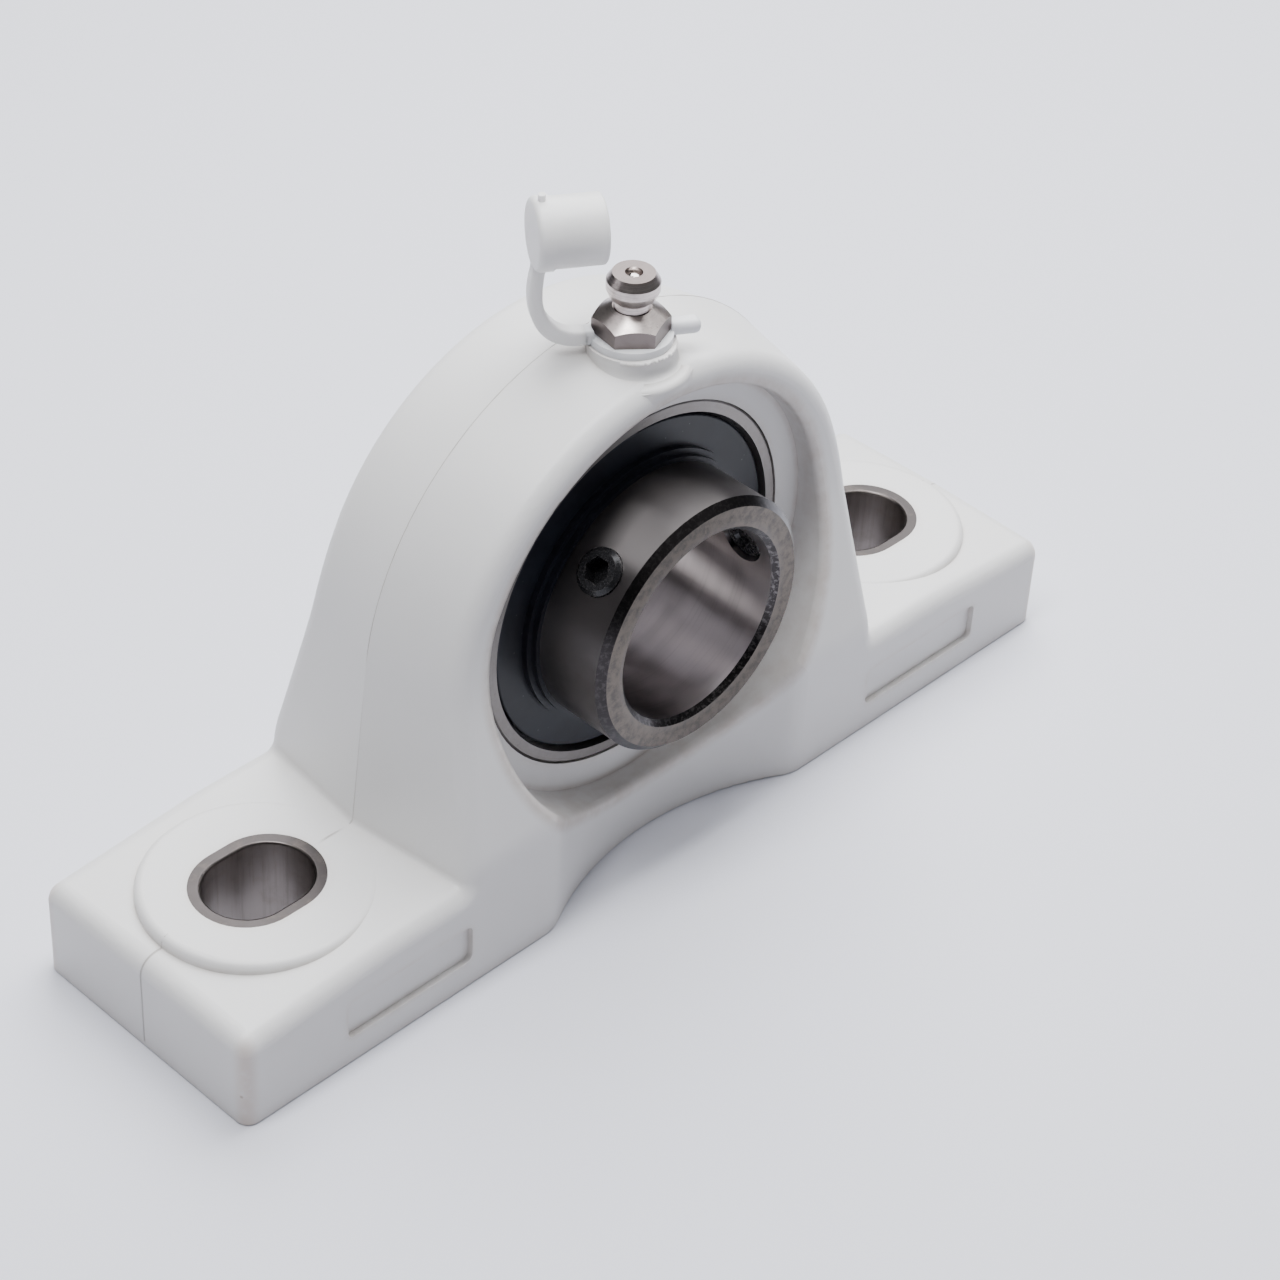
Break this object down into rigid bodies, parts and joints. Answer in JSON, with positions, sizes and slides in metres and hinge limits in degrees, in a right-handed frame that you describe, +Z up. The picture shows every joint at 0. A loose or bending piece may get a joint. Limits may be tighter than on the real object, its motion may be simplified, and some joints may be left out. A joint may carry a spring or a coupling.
{
  "type": "pillow block bearing",
  "caption": "Moulded plastic pillow block with lined bolt slots, a self-aligning ball bearing insert with set screws, and a capped grease nipple.",
  "frame": {"origin": "centre of the base's underside, on the housing's parting plane", "axes": "+X along the base from one bolt slot to the other, +Y along the shaft axis away from the set screws, +Z up through the grease nipple"},
  "size_m": [0.14, 0.0379, 0.0906],
  "materials": {
    "housing_plastic": "satin moulded thermoplastic",
    "sleeve_steel": "rolled stainless",
    "nipple_steel": "nickel plated",
    "spring_steel": "drawn wire",
    "cap_plastic": "translucent polyethylene",
    "bearing_steel": "polished",
    "ring_steel": "ground",
    "seal_rubber": "moulded",
    "slinger_steel": "satin black",
    "cage_steel": "pressed sheet",
    "screw_steel": "black oxide"
  },
  "bodies": {
    "housing": {"housing": "housing_plastic", "left_mount_sleeve": "sleeve_steel", "right_mount_sleeve": "sleeve_steel", "grease_nipple": "nipple_steel", "nipple_spring": "spring_steel", "cap_ring": "cap_plastic", "cap_strap": "cap_plastic"},
    "outer_ring": {"outer_ring": "ring_steel", "front_seal": "seal_rubber", "rear_seal": "seal_rubber"},
    "inner_ring": {"inner_ring": "ring_steel", "front_slinger": "slinger_steel", "rear_slinger": "slinger_steel"},
    "cage": {"cage_front_half": "cage_steel", "cage_rear_half": "cage_steel", "cage_rivets": "cage_steel"},
    "ball_1": {"ball_1": "bearing_steel"},
    "ball_2": {"ball_2": "bearing_steel"},
    "ball_3": {"ball_3": "bearing_steel"},
    "ball_4": {"ball_4": "bearing_steel"},
    "ball_5": {"ball_5": "bearing_steel"},
    "ball_6": {"ball_6": "bearing_steel"},
    "ball_7": {"ball_7": "bearing_steel"},
    "ball_8": {"ball_8": "bearing_steel"},
    "ball_9": {"ball_9": "bearing_steel"},
    "set_screw_1": {"set_screw_1": "screw_steel"},
    "set_screw_2": {"set_screw_2": "screw_steel"},
    "check_ball": {"nipple_check_ball": "bearing_steel"},
    "cap": {"nipple_cap": "cap_plastic"}
  },
  "joints": [
    {"name": "self_align_tilt", "type": "hinge", "parent": "housing", "child": "outer_ring", "pos_m": [0, 0, 0.0365], "axis": [1, 0, 0], "range_deg": [-2, 2]},
    {"name": "shaft_spin", "type": "hinge", "parent": "outer_ring", "child": "inner_ring", "pos_m": [0, 0, 0.0365], "axis": [0, 1, 0], "continuous": true},
    {"name": "cage_spin", "type": "hinge", "parent": "outer_ring", "child": "cage", "pos_m": [0, 0, 0.0365], "axis": [0, 1, 0], "continuous": true},
    {"name": "ball_1_spin", "type": "hinge", "parent": "cage", "child": "ball_1", "pos_m": [0, 0, 0.056], "axis": [0, 1, 0], "continuous": true},
    {"name": "ball_2_spin", "type": "hinge", "parent": "cage", "child": "ball_2", "pos_m": [-0.01253, 0, 0.05144], "axis": [0, 1, 0], "continuous": true},
    {"name": "ball_3_spin", "type": "hinge", "parent": "cage", "child": "ball_3", "pos_m": [-0.0192, 0, 0.03989], "axis": [0, 1, 0], "continuous": true},
    {"name": "ball_4_spin", "type": "hinge", "parent": "cage", "child": "ball_4", "pos_m": [-0.01689, 0, 0.02675], "axis": [0, 1, 0], "continuous": true},
    {"name": "ball_5_spin", "type": "hinge", "parent": "cage", "child": "ball_5", "pos_m": [-0.00667, 0, 0.01818], "axis": [0, 1, 0], "continuous": true},
    {"name": "ball_6_spin", "type": "hinge", "parent": "cage", "child": "ball_6", "pos_m": [0.00667, 0, 0.01818], "axis": [0, 1, 0], "continuous": true},
    {"name": "ball_7_spin", "type": "hinge", "parent": "cage", "child": "ball_7", "pos_m": [0.01689, 0, 0.02675], "axis": [0, 1, 0], "continuous": true},
    {"name": "ball_8_spin", "type": "hinge", "parent": "cage", "child": "ball_8", "pos_m": [0.0192, 0, 0.03989], "axis": [0, 1, 0], "continuous": true},
    {"name": "ball_9_spin", "type": "hinge", "parent": "cage", "child": "ball_9", "pos_m": [0.01253, 0, 0.05144], "axis": [0, 1, 0], "continuous": true},
    {"name": "set_screw_1_travel", "type": "slide", "parent": "inner_ring", "child": "set_screw_1", "axis": [-0.7314, 0, 0.682], "range_m": [-0.0006, 0.003]},
    {"name": "set_screw_2_travel", "type": "slide", "parent": "inner_ring", "child": "set_screw_2", "axis": [0.9563, 0, 0.2924], "range_m": [-0.00015, 0.003]},
    {"name": "check_ball_press", "type": "slide", "parent": "housing", "child": "check_ball", "axis": [0, 0, -1], "range_m": [0, 0.0008], "stiffness_N_per_m": 200, "springref_m": -0.001, "deforming": ["nipple_spring"]},
    {"name": "cap_swing", "type": "hinge", "parent": "housing", "child": "cap", "pos_m": [-0.00476, -0.00264, 0.07995], "axis": [0.515, 0.8572, 0], "range_deg": [0, 90], "stiffness_Nm_per_rad": 0.002, "deforming": ["cap_strap"]}
  ],
  "couplings": [
    {"joint": "cage_spin", "follows": "shaft_spin", "ratio": 0.39823},
    {"joint": "ball_1_spin", "follows": "shaft_spin", "ratio": -2.3548},
    {"joint": "ball_2_spin", "follows": "shaft_spin", "ratio": -2.3548},
    {"joint": "ball_3_spin", "follows": "shaft_spin", "ratio": -2.3548},
    {"joint": "ball_4_spin", "follows": "shaft_spin", "ratio": -2.3548},
    {"joint": "ball_5_spin", "follows": "shaft_spin", "ratio": -2.3548},
    {"joint": "ball_6_spin", "follows": "shaft_spin", "ratio": -2.3548},
    {"joint": "ball_7_spin", "follows": "shaft_spin", "ratio": -2.3548},
    {"joint": "ball_8_spin", "follows": "shaft_spin", "ratio": -2.3548},
    {"joint": "ball_9_spin", "follows": "shaft_spin", "ratio": -2.3548}
  ]
}
